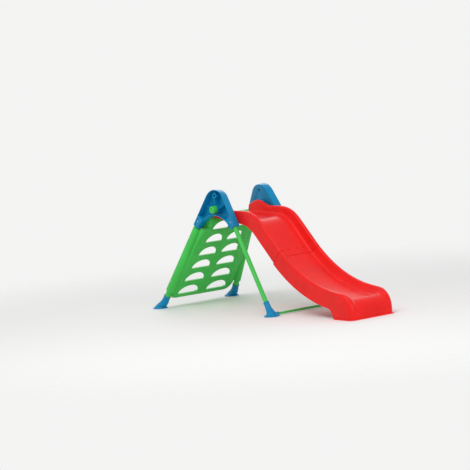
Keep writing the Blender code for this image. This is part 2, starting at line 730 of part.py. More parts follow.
def add_treads(panel):
    """Ledges on the climbing side, level with the bottom of each row of holes."""
    for row in range(1, HOLE_ROWS):
        top = tread_height(row)
        half = pocket_ring(top)[PANEL_CORNER_STEPS].y + PANEL_RIM / 4
        back = panel_back(top - TREAD_THICKNESS) - PANEL_WEB / 2
        depth = TREAD_REACH + PANEL_WEB / 2
        middle = Matrix.Translation((PIVOT_X + back - depth / 2, 0, top - TREAD_THICKNESS / 2))
        tread = box_mesh(f"panel_tread_{row + 1}", (depth, 2 * half, TREAD_THICKNESS), middle)
        combine(panel, tread, "UNION")


def build_panel():
    body = loft_mesh("climbing_panel", [panel_ring(height) for height in panel_heights()])
    panel = add_object("climbing_panel", body, GREEN_PLASTIC)
    for side, sign in (("right", 1), ("left", -1)):
        flip = Matrix.Diagonal((1, sign, 1, 1))
        low, high = flip @ front_leg_point(SLEEVE_BOTTOM), flip @ front_leg_point(SLEEVE_TOP)
        sleeve = cylinder_mesh(f"panel_sleeve_{side}", low, high, FRONT_LEG_RADIUS + SLEEVE_WALL)
        combine(panel, sleeve, "UNION")
    low_end, high_end = PANEL_BOTTOM + PANEL_RIM, PANEL_TOP - PANEL_RIM * 1.6
    pocket_heights = (low_end, PANEL_SHOULDER, PANEL_SHOULDER + GAP * 3, high_end)
    pocket = loft_mesh("panel_pocket", [pocket_ring(height) for height in pocket_heights])
    combine(panel, pocket, "DIFFERENCE")
    add_treads(panel)
    for side, sign in (("right", 1), ("left", -1)):
        flip = Matrix.Diagonal((1, sign, 1, 1))
        low, high = flip @ front_leg_point(0), flip @ front_leg_point(APEX_HEIGHT)
        bore = cylinder_mesh(f"panel_bore_{side}", low, high, FRONT_LEG_RADIUS + GAP)
        combine(panel, bore, "DIFFERENCE")
    outlines = [hole_outline(row, side) for row in range(HOLE_ROWS) for side in (-1, 1)]
    reach = FRONT_FOOT_REACH * 2
    across = Matrix.Translation((PIVOT_X, 0, 0)) @ Matrix.Rotation(math.radians(90), 4, "Z")
    combine(panel, plates_mesh("panel_holes", outlines, -reach, reach), "DIFFERENCE", across)
    return panel


# Chute

def crest_at(x):
    """Height and slope of the side wall's crest, with X from the pivot, as far as the nose."""
    bend_end = BEND_START + BEND_RADIUS * math.sin(CHUTE_ANGLE)
    bend_height = RIM_HEIGHT - BEND_RADIUS * (1 - math.cos(CHUTE_ANGLE))
    straight_height = bend_height - (STRAIGHT_END - bend_end) * math.tan(CHUTE_ANGLE)
    runout_x = STRAIGHT_END + RUNOUT_RADIUS * math.sin(CHUTE_ANGLE)
    runout_height = straight_height + RUNOUT_RADIUS * math.cos(CHUTE_ANGLE)
    if x <= BEND_START:
        return RIM_HEIGHT, 0.0
    if x <= bend_end:
        slope = math.asin((x - BEND_START) / BEND_RADIUS)
        return RIM_HEIGHT - BEND_RADIUS * (1 - math.cos(slope)), slope
    if x <= STRAIGHT_END:
        return bend_height - (x - bend_end) * math.tan(CHUTE_ANGLE), CHUTE_ANGLE
    slope = max(math.asin((runout_x - x) / RUNOUT_RADIUS), RUNOUT_ANGLE)
    arc_x = runout_x - RUNOUT_RADIUS * math.sin(slope)
    arc_height = runout_height - RUNOUT_RADIUS * math.cos(slope)
    return arc_height - (x - arc_x) * math.tan(slope), slope


def nose_stations():
    """X, height and slope round the nose and down its front to the ground."""
    height, slope = crest_at(NOSE_START)
    radius = (CHUTE_FRONT - NOSE_START) / (1 - math.sin(slope))
    stations = []
    for step in range(1, NOSE_STEPS + 1):
        angle = slope + (math.radians(90) - slope) * step / NOSE_STEPS
        x = NOSE_START + radius * (math.sin(angle) - math.sin(slope))
        stations.append((x, height + radius * (math.cos(angle) - math.cos(slope)), angle))
    return stations + [(CHUTE_FRONT, EDGE_LIFT, math.radians(90))]


def between(x, pairs):
    """A value that changes evenly between (X, value) pairs."""
    return float(np.interp(x, [place for place, _ in pairs], [value for _, value in pairs]))


def bed_depth(x):
    return between(x, (
        (CHUTE_BACK, BED_DEPTH_HEAD), (BEND_START, BED_DEPTH_STEEP), (SEAM, BED_DEPTH_STEEP),
        (NOSE_START, BED_DEPTH_EXIT), (CHUTE_FRONT, 0.0),
    ))


def chute_half_width(x):
    return between(x, (
        (EAR_REACH, CHUTE_HALF_HEAD), (BEND_START * 1.5, CHUTE_HALF_WIDTH),
        (FOOT_START, CHUTE_HALF_WIDTH), (NOSE_START, CHUTE_HALF_EXIT),
    ))


def bed_half_width(x):
    return between(x, ((BEND_START, BED_HALF_HEAD), (STRAIGHT_END, BED_HALF)))


def skirt_depth(x, lower_piece):
    depth = between(x, (
        (CHUTE_BACK, SKIRT_DEPTH_HEAD), (BEND_START * 0.75, SKIRT_DEPTH_BEND),
        (BEND_START * 1.5, SKIRT_DEPTH_STEEP), (STRAIGHT_END, SKIRT_DEPTH_STEEP),
    ))
    if not lower_piece:
        return depth
    first = SKIRT_DEPTH_STEEP + SKIRT_STEP
    return between(x, ((STRAIGHT_END, first), (FOOT_START, SKIRT_DEPTH_EXIT)))


def ear_rise(x):
    """Extra height of the side walls round the pivot."""
    if abs(x) >= EAR_REACH:
        return 0.0
    return EAR_RISE * math.cos(x / EAR_REACH * math.pi / 2) ** 2


def section(x, skirt):
    """Half of the chute's section from the skirt inwards, as width and height over the crest."""
    crest = ear_rise(x)
    bed = -bed_depth(x)
    half_bed = bed_half_width(x)
    rim = chute_half_width(x)
    round_off = min(1.0, bed_depth(x) / BED_DEPTH_EXIT)
    corner = between(x, ((NOSE_START - RIM_WIDTH, 1.0), (CHUTE_FRONT, NOSE_CORNER)))
    ridge = rim - RIM_WIDTH * 0.36 * corner
    return [
        (rim, -skirt),
        (rim, crest - RIM_WIDTH * 0.40 * corner),
        (rim - RIM_WIDTH * 0.12 * corner, crest - RIM_WIDTH * 0.14 * corner),
        (ridge, crest),
        (ridge - RIM_WIDTH * 0.28, crest),
        (ridge - RIM_WIDTH * 0.52, crest - RIM_WIDTH * 0.17 * round_off),
        (ridge - RIM_WIDTH * 0.64, crest - RIM_WIDTH * 0.45 * round_off),
        (half_bed + BED_CURVE * 0.4, bed + BED_CURVE * 0.6 * round_off),
        (half_bed, bed + BED_CURVE * 0.15 * round_off),
        (half_bed - BED_CURVE, bed),
        (0.0, bed),
    ]


def inset_line(points, distance):
    """An open line moved to its right-hand side."""
    rights = []
    for (x0, y0), (x1, y1) in zip(points, points[1:]):
        run = Vector((x1 - x0, y1 - y0)).normalized()
        rights.append(Vector((run.y, -run.x)))
    moved = []
    for i, point in enumerate(points):
        before = rights[max(i - 1, 0)]
        after = rights[min(i, len(rights) - 1)]
        moved.append(Vector(point) + (before + after) * (distance / (1 + before.dot(after))))
    return moved


def station_row(x, height, slope, skirt, inset=0.0, foot=None):
    """The chute's section, set square to its crest, with a given end to the skirt near the ground."""
    half = section(x, skirt)
    line = [(-y, h) for y, h in half] + [(y, h) for y, h in reversed(half[:-1])]
    if inset:
        line = inset_line(line, inset)
    row = [Vector((x + h * math.sin(slope), y, height + h * math.cos(slope))) for y, h in line]
    if foot:
        for end in (0, -1):
            row[end].x, row[end].z = foot
    pivot = Vector((PIVOT_X, 0, 0))
    return [point + pivot for point in row]


def chute_shell(name, rows):
    """An open skin through the rows, thickened on its hidden side."""
    across = len(rows[0])
    faces = []
    for i in range(len(rows) - 1):
        for j in range(across - 1):
            corner = i * across + j
            faces.append((corner, corner + across, corner + across + 1, corner + 1))
    mesh = bpy.data.meshes.new(name)
    mesh.from_pydata([point for row in rows for point in row], [], faces)
    made = add_object(name, mesh, RED_PLASTIC)
    wall = made.modifiers.new("wall", "SOLIDIFY")
    wall.thickness = CHUTE_WALL
    wall.offset = -1
    wall.use_even_offset = True
    return made


def bed_matrix(x):
    """A frame on the bed with X down the chute and Z out of it."""
    height, slope = crest_at(x)
    depth = bed_depth(x)
    down = Vector((math.cos(slope), 0, -math.sin(slope)))
    out = Vector((math.sin(slope), 0, math.cos(slope)))
    matrix = Matrix((down, Vector((0, 1, 0)), out)).transposed().to_4x4()
    matrix.translation = Vector((PIVOT_X + x, 0, height)) - out * depth
    return matrix


def add_bed_ribs(chute, places):
    for number, x in enumerate(places):
        size = (RIB_THICKNESS, 2 * (bed_half_width(x) - BED_CURVE), RIB_DEPTH)
        drop = CHUTE_WALL * 0.5 + RIB_DEPTH / 2
        place = bed_matrix(x) @ Matrix.Translation((0, 0, -drop))
        rib = box_mesh(f"{chute.name}_rib_{number + 1}", size, place)
        combine(chute, rib, "UNION")


def build_upper_chute():
    flat = list(np.linspace(CHUTE_BACK, BEND_START, HEAD_STEPS))
    turns = (CHUTE_ANGLE * step / BEND_STEPS for step in range(1, BEND_STEPS + 1))
    bend = [BEND_START + BEND_RADIUS * math.sin(turn) for turn in turns]
    places = flat + bend + [(bend[-1] + STRAIGHT_END) / 2, STRAIGHT_END, SEAM]
    rows = [station_row(x, *crest_at(x), skirt_depth(x, False)) for x in map(float, places)]
    chute = chute_shell("chute_upper", rows)
    add_bed_ribs(chute, (CHUTE_BACK + 0.02, BEND_START * 0.5, BEND_START, bend[-1]))
    return chute


def foot_edge(share):
    """A point of the skirt's edge at the exit, by its share of the way down and then forward."""
    end = CHUTE_FRONT - RIM_WIDTH * (0.40 * NOSE_CORNER + 0.2)
    curve = EXIT_FOOT_RADIUS * math.pi / 2
    ground = end - FOOT_START - EXIT_FOOT_RADIUS
    gone = share * (curve + ground)
    if gone < curve:
        angle = gone / EXIT_FOOT_RADIUS
        height = EDGE_LIFT + EXIT_FOOT_RADIUS * math.cos(angle)
        return FOOT_START + EXIT_FOOT_RADIUS * math.sin(angle), height
    return FOOT_START + EXIT_FOOT_RADIUS + gone - curve, EDGE_LIFT


def build_lower_chute():
    lap = CHUTE_WALL + LAP_GAP
    rows = []
    for x in (SEAM - OVERLAP, STRAIGHT_END, SEAM + GAP):
        rows.append(station_row(x, *crest_at(x), SKIRT_DEPTH_STEEP, inset=lap))
    start = SEAM + GAP * 5
    first_slope = crest_at(start)[1]
    runout_x = STRAIGHT_END + RUNOUT_RADIUS * math.sin(CHUTE_ANGLE)
    turn = (RUNOUT_ANGLE - first_slope) / RUNOUT_STEPS
    slopes = [first_slope + turn * step for step in range(1, RUNOUT_STEPS + 1)]
    places = [start] + [runout_x - RUNOUT_RADIUS * math.sin(slope) for slope in slopes]
    places += list(np.linspace(places[-1], NOSE_START, 4))[1:]
    stations = [(float(x), *crest_at(float(x))) for x in places] + nose_stations()
    edge_start = FOOT_START + EXIT_FOOT_RADIUS * 0.3
    on_foot = [station for station in stations if station[0] > edge_start]
    for x, height, slope in stations:
        foot = None
        if x > edge_start:
            foot = foot_edge((on_foot.index((x, height, slope)) + 1) / len(on_foot))
        rows.append(station_row(x, height, slope, skirt_depth(x, True), foot=foot))
    chute = chute_shell("chute_lower", rows)
    first, last = SEAM + OVERLAP, NOSE_START
    add_bed_ribs(chute, [first + (last - first) * share for share in (0.0, 0.33, 0.67, 1.0)])
    add_exit_flange(chute)
    return chute


def add_exit_flange(chute):
    """A low lip round the sides and the front of the exit, on the ground."""
    corner = RIM_WIDTH * 0.40 * NOSE_CORNER
    middle = CHUTE_FRONT - CHUTE_WALL / 2 - corner, CHUTE_HALF_EXIT - CHUTE_WALL / 2 - corner
    turns = [math.radians(15 * step) for step in range(7)]
    outline = []
    for reach, direction in ((EXIT_FLANGE + CHUTE_WALL / 2, 1), (0.0, -1)):
        radius = corner + reach
        right = [(FOOT_START + EXIT_FOOT_RADIUS, -middle[1] - radius)]
        right += [(middle[0] + radius * math.sin(a), -middle[1] - radius * math.cos(a)) for a in turns]
        outline += (right + [(x, -y) for x, y in reversed(right)])[::direction]
    level = Matrix.Translation((PIVOT_X, 0, 0)) @ Matrix.Rotation(math.radians(-90), 4, "X")
    lip = plate_mesh("exit_lip", outline, -EXIT_FLANGE_HEIGHT, 0)
    combine(chute, lip, "UNION", level)


# Pivots and fasteners

def nut(name, matrix, radius, thickness, bore, material):
    """A six-sided nut that hangs down from the matrix's origin."""
    body = cylinder_mesh(name, (0, 0, -thickness), (0, 0, 0), radius, sides=6)
    made = add_object(name, body, material)
    made.matrix_world = matrix
    hole = cylinder_mesh(name + "_bore", (0, 0, -2 * thickness), (0, 0, thickness), bore + GAP)
    combine(made, hole, "DIFFERENCE", matrix)
    settle(made)
    return made


def hole_in(pieces, name, low, high, radius, place):
    """The same hole cut down through several pieces."""
    for piece in pieces:
        hole = cylinder_mesh(f"{name}_{piece.name}", (0, 0, low), (0, 0, high), radius, sides=16)
        combine(piece, hole, "DIFFERENCE", place)


def build_pivot(upper):
    """The knobs that carry the chute between the brackets, and the nuts inside its hollow side walls."""
    pivot = Vector((PIVOT_X, 0, PIVOT_HEIGHT))
    seat = pivot - Vector((0, CHUTE_HALF_HEAD + SEAT_LENGTH + GAP, 0))
    nut_face = pivot - Vector((0, CHUTE_HALF_HEAD - CHUTE_WALL - GAP, 0))
    shank = SEAT_LENGTH + CHUTE_WALL + KNOB_NUT_THICKNESS + GAP * 4
    profile = (
        (0, KNOB_LENGTH - KNOB_DISH), (KNOB_RADIUS * 0.58, KNOB_LENGTH - KNOB_DISH),
        (KNOB_RADIUS * 0.68, KNOB_LENGTH), (KNOB_RADIUS * 0.86, KNOB_LENGTH),
        (KNOB_RADIUS * 0.96, KNOB_LENGTH - KNOB_RADIUS * 0.07),
        (KNOB_RADIUS, KNOB_LENGTH - KNOB_RADIUS * 0.2),
        (KNOB_RADIUS, KNOB_RADIUS * 0.1), (KNOB_RADIUS * 0.92, 0), (KNOB_SHANK_RADIUS, 0),
        (KNOB_SHANK_RADIUS, -shank), (0, -shank),
    )
    knob = turned_object("pivot_knob_right", profile, axis_matrix(seat, (0, -1, 0)), GREEN_PLASTIC)
    mirrored(knob)
    sizes = KNOB_NUT_RADIUS, KNOB_NUT_THICKNESS, KNOB_SHANK_RADIUS
    mirrored(nut("pivot_nut_right", axis_matrix(nut_face, (0, -1, 0)), *sizes, GREEN_PLASTIC))
    for side, sign in (("right", -1), ("left", 1)):
        start = pivot + Vector((0, sign * (CHUTE_HALF_HEAD - CHUTE_WALL * 2), 0))
        end = pivot + Vector((0, sign * (CHUTE_HALF_HEAD + CHUTE_WALL), 0))
        hole = cylinder_mesh(f"chute_pivot_{side}", start, end, KNOB_SHANK_RADIUS + GAP)
        combine(upper, hole, "DIFFERENCE")


def build_section_bolts(upper, lower):
    """Bolts down through both beds where the two pieces of the chute overlap."""
    walls = CHUTE_WALL * 2 + LAP_GAP
    length = walls + SECTION_NUT_THICKNESS + GAP * 4
    profile = round_head(SECTION_BOLT_HEAD, SECTION_BOLT_RADIUS, length)
    sizes = SECTION_NUT_RADIUS, SECTION_NUT_THICKNESS, SECTION_BOLT_RADIUS
    on_bed = bed_matrix(SEAM - OVERLAP / 2)
    for number, y in enumerate(SECTION_BOLT_PLACES, 1):
        place = on_bed @ Matrix.Translation((0, y, GAP))
        turned_object(f"section_bolt_{number}", profile, place, ZINC_STEEL, sides=16)
        below = on_bed @ Matrix.Translation((0, y, -walls - GAP))
        nut(f"section_nut_{number}", below, *sizes, ZINC_STEEL)
        radius = SECTION_BOLT_RADIUS + GAP
        hole_in((upper, lower), f"section_hole_{number}", -walls * 2, walls, radius, place)


def round_head(head, shank, length):
    """The profile of a screw: a low round head on a plain shank."""
    return (
        (0, head * 0.45), (head * 0.5, head * 0.38), (head * 0.85, head * 0.2), (head, 0),
        (shank, 0), (shank, -length), (0, -length),
    )


def screw(name, seat, inward, into, *pieces):
    """A round-headed screw on its seat, and its hole in every piece that it passes."""
    head = SCREW_HEAD_RADIUS
    place = axis_matrix(seat - inward * GAP, -inward)
    profile = round_head(head, SCREW_RADIUS, into)
    made = turned_object(name, profile, place, ZINC_STEEL, sides=16)
    spot = cylinder_mesh(name + "_spot", (0, 0, -GAP), (0, 0, head * 4), head + GAP * 2)
    combine(pieces[0], spot, "DIFFERENCE", place)
    hole_in(pieces, name + "_hole", -into - GAP, head * 4, SCREW_RADIUS + GAP, place)
    return made


def build_frame_screws(legs, bracket, panel):
    """Screws from outside, through the brackets and the panel's sleeves, into the legs."""
    inward = frame_matrix().to_3x3() @ Vector((0, 1, 0))
    floor = BRACKET_DEPTH / 2 - BRACKET_GROOVE_DEPTH - SCREW_SINK
    made = []
    for place, leg_point, radius in LEGS:
        seat = leg_point(BRACKET_SCREW_HEIGHT) - inward * floor
        into = floor - radius + SCREW_GRIP
        made.append(screw(f"bracket_screw_{place}_right", seat, inward, into, bracket, legs[place]))
    into = SLEEVE_WALL - SCREW_SINK + SCREW_GRIP
    for number, height in enumerate(PANEL_SCREW_HEIGHTS, 1):
        seat = front_leg_point(height) - inward * (FRONT_LEG_RADIUS + SLEEVE_WALL - SCREW_SINK)
        made.append(screw(f"panel_screw_{number}_right", seat, inward, into, panel, legs["front"]))
        mirror_cuts(panel, 2)
    for piece in made:
        mirrored(piece)


def mirror_cuts(piece, count):
    """Repeats the last cuts of a piece on its other side."""
    flip = Matrix.Diagonal((1, -1, 1, 1))
    for change in list(piece.modifiers)[-count:]:
        mesh = change.object.data.copy()
        mesh.transform(flip)
        mesh.flip_normals()
        mesh.name = change.name + "_left"
        combine(piece, mesh, "DIFFERENCE", flip @ change.object.matrix_world @ flip)


def main():
    legs = build_legs_and_feet()
    bracket = build_bracket()
    panel = build_panel()
    build_frame_screws(legs, bracket, panel)
    for piece in (*legs.values(), bracket):
        settle(piece)
        mirrored(piece)
    upper = build_upper_chute()
    lower = build_lower_chute()
    build_pivot(upper)
    build_section_bolts(upper, lower)


clear_scene()
PARTS = new_collection("climber_slide")
CUTTERS = new_collection("cutters")
RED_PLASTIC = plain_material(*RED)
GREEN_PLASTIC = plain_material(*GREEN)
BLUE_PLASTIC = plain_material(*BLUE)
ZINC_STEEL = plain_material(*STEEL, metallic=1.0)
main()
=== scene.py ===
import json
import math
import bmesh
import bpy
from mathutils import Matrix, Vector


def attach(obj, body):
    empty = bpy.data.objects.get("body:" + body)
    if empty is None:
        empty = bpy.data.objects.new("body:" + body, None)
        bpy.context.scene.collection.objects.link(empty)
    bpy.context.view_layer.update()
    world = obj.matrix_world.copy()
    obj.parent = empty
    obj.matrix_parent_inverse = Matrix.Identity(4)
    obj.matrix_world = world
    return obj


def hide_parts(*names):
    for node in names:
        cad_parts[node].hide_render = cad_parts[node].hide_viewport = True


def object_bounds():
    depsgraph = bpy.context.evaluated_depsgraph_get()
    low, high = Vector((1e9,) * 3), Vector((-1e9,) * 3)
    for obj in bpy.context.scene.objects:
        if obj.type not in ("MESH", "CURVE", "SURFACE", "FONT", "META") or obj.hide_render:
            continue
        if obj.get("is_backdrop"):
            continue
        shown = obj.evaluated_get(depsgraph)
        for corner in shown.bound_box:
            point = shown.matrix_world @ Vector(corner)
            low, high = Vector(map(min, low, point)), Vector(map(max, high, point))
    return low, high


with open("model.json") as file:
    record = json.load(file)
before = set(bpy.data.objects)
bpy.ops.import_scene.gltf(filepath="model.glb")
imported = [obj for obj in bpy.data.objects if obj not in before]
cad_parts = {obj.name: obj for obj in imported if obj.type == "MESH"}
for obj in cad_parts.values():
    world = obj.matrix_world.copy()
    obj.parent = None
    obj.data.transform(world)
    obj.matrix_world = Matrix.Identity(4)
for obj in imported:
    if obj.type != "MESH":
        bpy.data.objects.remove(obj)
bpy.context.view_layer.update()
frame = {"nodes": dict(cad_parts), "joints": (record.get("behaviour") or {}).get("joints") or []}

# Studio
# The slide stands on a wide pale floor that fades into pale light. One large soft lamp hangs high on its
# right-hand side, a weaker one is beyond its exit, and a third is behind its climbing side.

bpy.context.scene.view_settings.view_transform = "Standard"


class Wire:
    """One value in a material's nodes. Sums and products add Math nodes, and node() adds any other node."""

    def __init__(self, tree, socket=None):
        self.tree = tree
        self.socket = socket

    def node(self, kind, settings=(), out=0, **inputs):
        """Adds a node and sets its inputs, each given by its name, or by its number as n0, n1 and so on."""
        made = self.tree.nodes.new("ShaderNode" + kind)
        for setting, value in dict(settings).items():
            if setting == "stops":
                ramp = made.color_ramp
                while len(ramp.elements) < len(value):
                    ramp.elements.new(0.5)
                for stop, (place, colour) in zip(ramp.elements, value):
                    stop.position = place
                    stop.color = colour
            else:
                setattr(made, setting, value)
        for name, value in inputs.items():
            key = int(name[1:]) if name[0] == "n" and name[1:].isdigit() else name.replace("_", " ")
            if isinstance(value, Wire):
                self.tree.links.new(value.socket, made.inputs[key])
            else:
                made.inputs[key].default_value = value
        return Wire(self.tree, made.outputs[out] if made.outputs else None)

    def maths(self, operation, first, second):
        return self.node("Math", {"operation": operation}, n0=first, n1=second)

    def __add__(self, other):
        return self.maths("ADD", self, other)

    __radd__ = __add__

    def __mul__(self, other):
        return self.maths("MULTIPLY", self, other)

    __rmul__ = __mul__


pale = (0.90, 0.90, 0.895, 1)
world = bpy.data.worlds.new("studio")
bpy.context.scene.world = world
world.use_nodes = True
world.node_tree.nodes.clear()
air = Wire(world.node_tree)
seen = air.node("LightPath", out="Is Camera Ray") + air.node("LightPath", out="Is Glossy Ray")
seen = seen + air.node("LightPath", out="Is Transmission Ray")
ambient = air.node("Background", Color=(1, 1, 1, 1), Strength=0.60)
shown = air.node("Background", Color=pale, Strength=1.0)
sky = air.node("MixShader", n0=seen, n1=ambient, n2=shown)
air.node("OutputWorld", Surface=sky)

floor_height = -0.0005
fade_start = 1.6
fade_end = 4.2
bpy.ops.object.select_all(action="DESELECT")
bpy.ops.mesh.primitive_plane_add(size=60, location=(0, 0, floor_height))
floor = bpy.context.object
floor.name = "floor"
floor_material = bpy.data.materials.new("pale floor")
floor_material.use_nodes = True
floor_shader = floor_material.node_tree.nodes["Principled BSDF"]
floor_shader.inputs["Base Color"].default_value = (0.88, 0.88, 0.875, 1)
floor_shader.inputs["Roughness"].default_value = 0.9
ground = Wire(floor_material.node_tree)
place = ground.node("TexCoord", out="Object")
distance = ground.node("VectorMath", {"operation": "LENGTH"}, out="Value", n0=place)
fade = ground.node(
    "MapRange", {"interpolation_type": "SMOOTHSTEP"}, n0=distance, n1=fade_start, n2=fade_end, n3=1.0, n4=0.0)
ground.tree.links.new(fade.socket, floor_shader.inputs["Alpha"])
floor.data.materials.append(floor_material)
floor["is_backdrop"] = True

middle_of_slide = Vector((0, 0, 0.4))
for name, place, size, power in (
    ("key", (1.6, -3.2, 5.0), 3.0, 120),
    ("fill", (5.5, -1.0, 2.2), 3.0, 58),
    ("rim", (-3.5, 2.5, 3.5), 2.5, 36),
):
    lamp_data = bpy.data.lights.new(name, "AREA")
    lamp_data.size = size
    lamp_data.energy = power
    lamp = bpy.data.objects.new(name, lamp_data)
    bpy.context.collection.objects.link(lamp)
    lamp.location = place
    lamp.rotation_euler = (middle_of_slide - Vector(place)).to_track_quat("-Z", "Y").to_euler()

# The camera of the printed picture: its place, turn and lens follow from the slide's points in it
camera_data = bpy.data.cameras.new("camera")
camera_data.sensor_width = 36
camera_data.lens = 162.68
camera = bpy.data.objects.new("camera", camera_data)
bpy.context.collection.objects.link(camera)
camera.location = (12.7108, -9.8537, 2.1268)
camera.rotation_euler = [math.radians(angle) for angle in (84.526, 4.785, 52.766)]
bpy.context.scene.camera = camera

# Legs and ground bar
# Round green tubes: two legs a side, splayed like an A, and one bar across the ground. The legs' upper ends
# are pushed into the brackets, and their lower ends into the feet. The bar ends in the rear feet.

pivot = Vector(frame["joints"][0]["pos_m"])
frame_half_width = 0.3205
toe_in = 0.0515
splay = 0.110
front_reach = 0.670
rear_reach = 0.653
socket_reach = 0.212
socket_height = pivot.z - 0.118
front_radius = 0.0220
rear_radius = 0.0170


def frame_point(x, height):
    """A point on the plane of the right side frame, with X measured from the pivot."""
    return Vector((pivot.x + x, toe_in * x + splay * height - frame_half_width, height))


def leg_point(reach, height):
    """A point on the axis of the leg that stands this far from the pivot, negative at the front."""
    inward = math.copysign(abs(reach) - socket_reach, reach) / socket_height
    return frame_point(reach - inward * height, height)


def moulded(name, colour, gloss, grain, scuffs=0.0):
    """A moulded surface: faint clouds in an even colour, a fine grain, and scuffs where faces look up."""
    material = bpy.data.materials.new(name)
    material.use_nodes = True
    shader = material.node_tree.nodes["Principled BSDF"]
    start = Wire(material.node_tree)
    place = start.node("TexCoord", out="Object")
    clouds = start.node("TexNoise", Vector=place, Scale=6.0, Detail=3.0, Roughness=0.55)
    marks = start.node("TexNoise", Vector=place, Scale=90.0, Detail=4.0, Roughness=0.7)
    pits = start.node("TexNoise", Vector=place, Scale=grain, Detail=2.0, Roughness=0.6)
    tone = clouds * 0.9 + marks * 0.1
    deep = [channel * 0.92 for channel in colour]
    light = [min(1, channel * 1.06 + 0.002) for channel in colour]
    stops = ((0.30, (*deep, 1)), (0.72, (*light, 1)))
    shade = start.node("ValToRGB", {"stops": stops}, Fac=tone)
    # Both noises average a half, so the roughness varies about the gloss that is asked for
    rough = clouds * 0.10 + marks * 0.12 + (gloss - 0.11)
    if scuffs:
        lengthwise = start.node("Mapping", Vector=place, Scale=(2.5, 130.0, 2.5))
        lines = start.node("TexNoise", Vector=lengthwise, Scale=3.0, Detail=5.0, Roughness=0.65)
        worn = start.node("MapRange", n0=lines, n1=0.52, n2=0.74, n3=0.0, n4=1.0)
        facing = start.node("SeparateXYZ", out="Z", Vector=start.node("NewGeometry", out="Normal"))
        worn = worn * start.node("MapRange", n0=facing, n1=0.45, n2=0.8, n3=0.0, n4=scuffs)
        pale_scuff = [channel * 0.85 + 0.10 for channel in colour]
        shade = start.node("Mix", {"data_type": "RGBA"}, out=2, n0=worn, n6=shade, n7=(*pale_scuff, 1))
        rough = rough + worn * 0.35
    start.tree.links.new(shade.socket, shader.inputs["Base Color"])
    start.tree.links.new(rough.socket, shader.inputs["Roughness"])
    bump = start.node("Bump", Strength=0.08, Distance=0.0004, Height=pits * 0.5 + clouds * 2.0)
    start.tree.links.new(bump.socket, shader.inputs["Normal"])
    shader.inputs["Specular IOR Level"].default_value = 0.20
    return material


green_plastic = moulded("green_plastic", (0.058, 0.560, 0.085), 0.38, 600)
for node in ("front_leg_right", "front_leg_left", "rear_leg_right", "rear_leg_left", "ground_bar"):
    leg = frame["nodes"][node]
    leg.data.materials.clear()
    leg.data.materials.append(green_plastic)

# Feet
# Four blue mouldings of one piece each: a flat disc that narrows and leans into a socket for the leg.
# The rear pair have a sleeve near the ground, in which the bar across the ground ends.

blue_plastic = moulded("blue_plastic", (0.001, 0.235, 0.470), 0.27, 800)
disc_radius = 0.058
disc_height = 0.007
foot_height = 0.100
foot_wall = 0.0040
foot_recess = 0.003
moulded_edge = 0.0008
front_foot_shift = -0.022
bar_radius = 0.0090
bar_height = 0.0140
bar_depth = 0.030
bar_bore = 0.2
slack = 0.0003
smooth_angle = math.radians(38)


def only(piece):
    """Selects one piece and makes it active."""
    if bpy.context.mode != "OBJECT":
        bpy.ops.object.mode_set(mode="OBJECT")
    bpy.ops.object.select_all(action="DESELECT")
    piece.select_set(True)
    bpy.context.view_layer.objects.active = piece


def apply_modifier(piece, kind, **settings):
    """Adds a modifier and applies it at once."""
    change = piece.modifiers.new(kind.lower(), kind)
    for setting, value in settings.items():
        setattr(change, setting, value)
    only(piece)
    bpy.ops.object.modifier_apply(modifier=change.name)


def cut(piece, operation="DIFFERENCE"):
    """Joins the active primitive to a piece, or cuts the piece with it, and removes the primitive."""
    tool = bpy.context.object
    apply_modifier(piece, "BOOLEAN", operation=operation, solver="EXACT", object=tool)
    bpy.data.objects.remove(tool)


def select_faces(piece, wanted):
    """Opens a piece for editing with only the wanted faces selected."""
    only(piece)
    bpy.ops.object.mode_set(mode="EDIT")
    bpy.ops.mesh.select_mode(type="FACE")
    bpy.ops.mesh.select_all(action="DESELECT")
    mesh = bmesh.from_edit_mesh(piece.data)
    for face in mesh.faces:
        face.select = wanted(face)
    mesh.select_flush(True)


def complete(piece, material, body, slot, *nodes):
    """Finishes a piece: its place goes into its mesh, it is smoothed and given its material, it hangs on its
    body, and its CAD nodes are hidden.
    """
    only(piece)
    bpy.ops.object.transform_apply()
    bpy.ops.object.shade_smooth_by_angle(angle=smooth_angle)
    piece.data.materials.clear()
    piece.data.materials.append(material)
    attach(piece, body)
    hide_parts(*nodes)


def twin(piece, name):
    """The left-hand twin of a right-hand piece."""
    only(piece)
    bpy.ops.object.duplicate()
    made = bpy.context.object
    made.name = name
    bpy.ops.object.transform_apply()
    made.scale.y = -1
    bpy.ops.object.transform_apply()
    bpy.ops.object.mode_set(mode="EDIT")
    bpy.ops.mesh.select_all(action="SELECT")
    bpy.ops.mesh.normals_make_consistent(inside=False)
    bpy.ops.object.mode_set(mode="OBJECT")
    return made


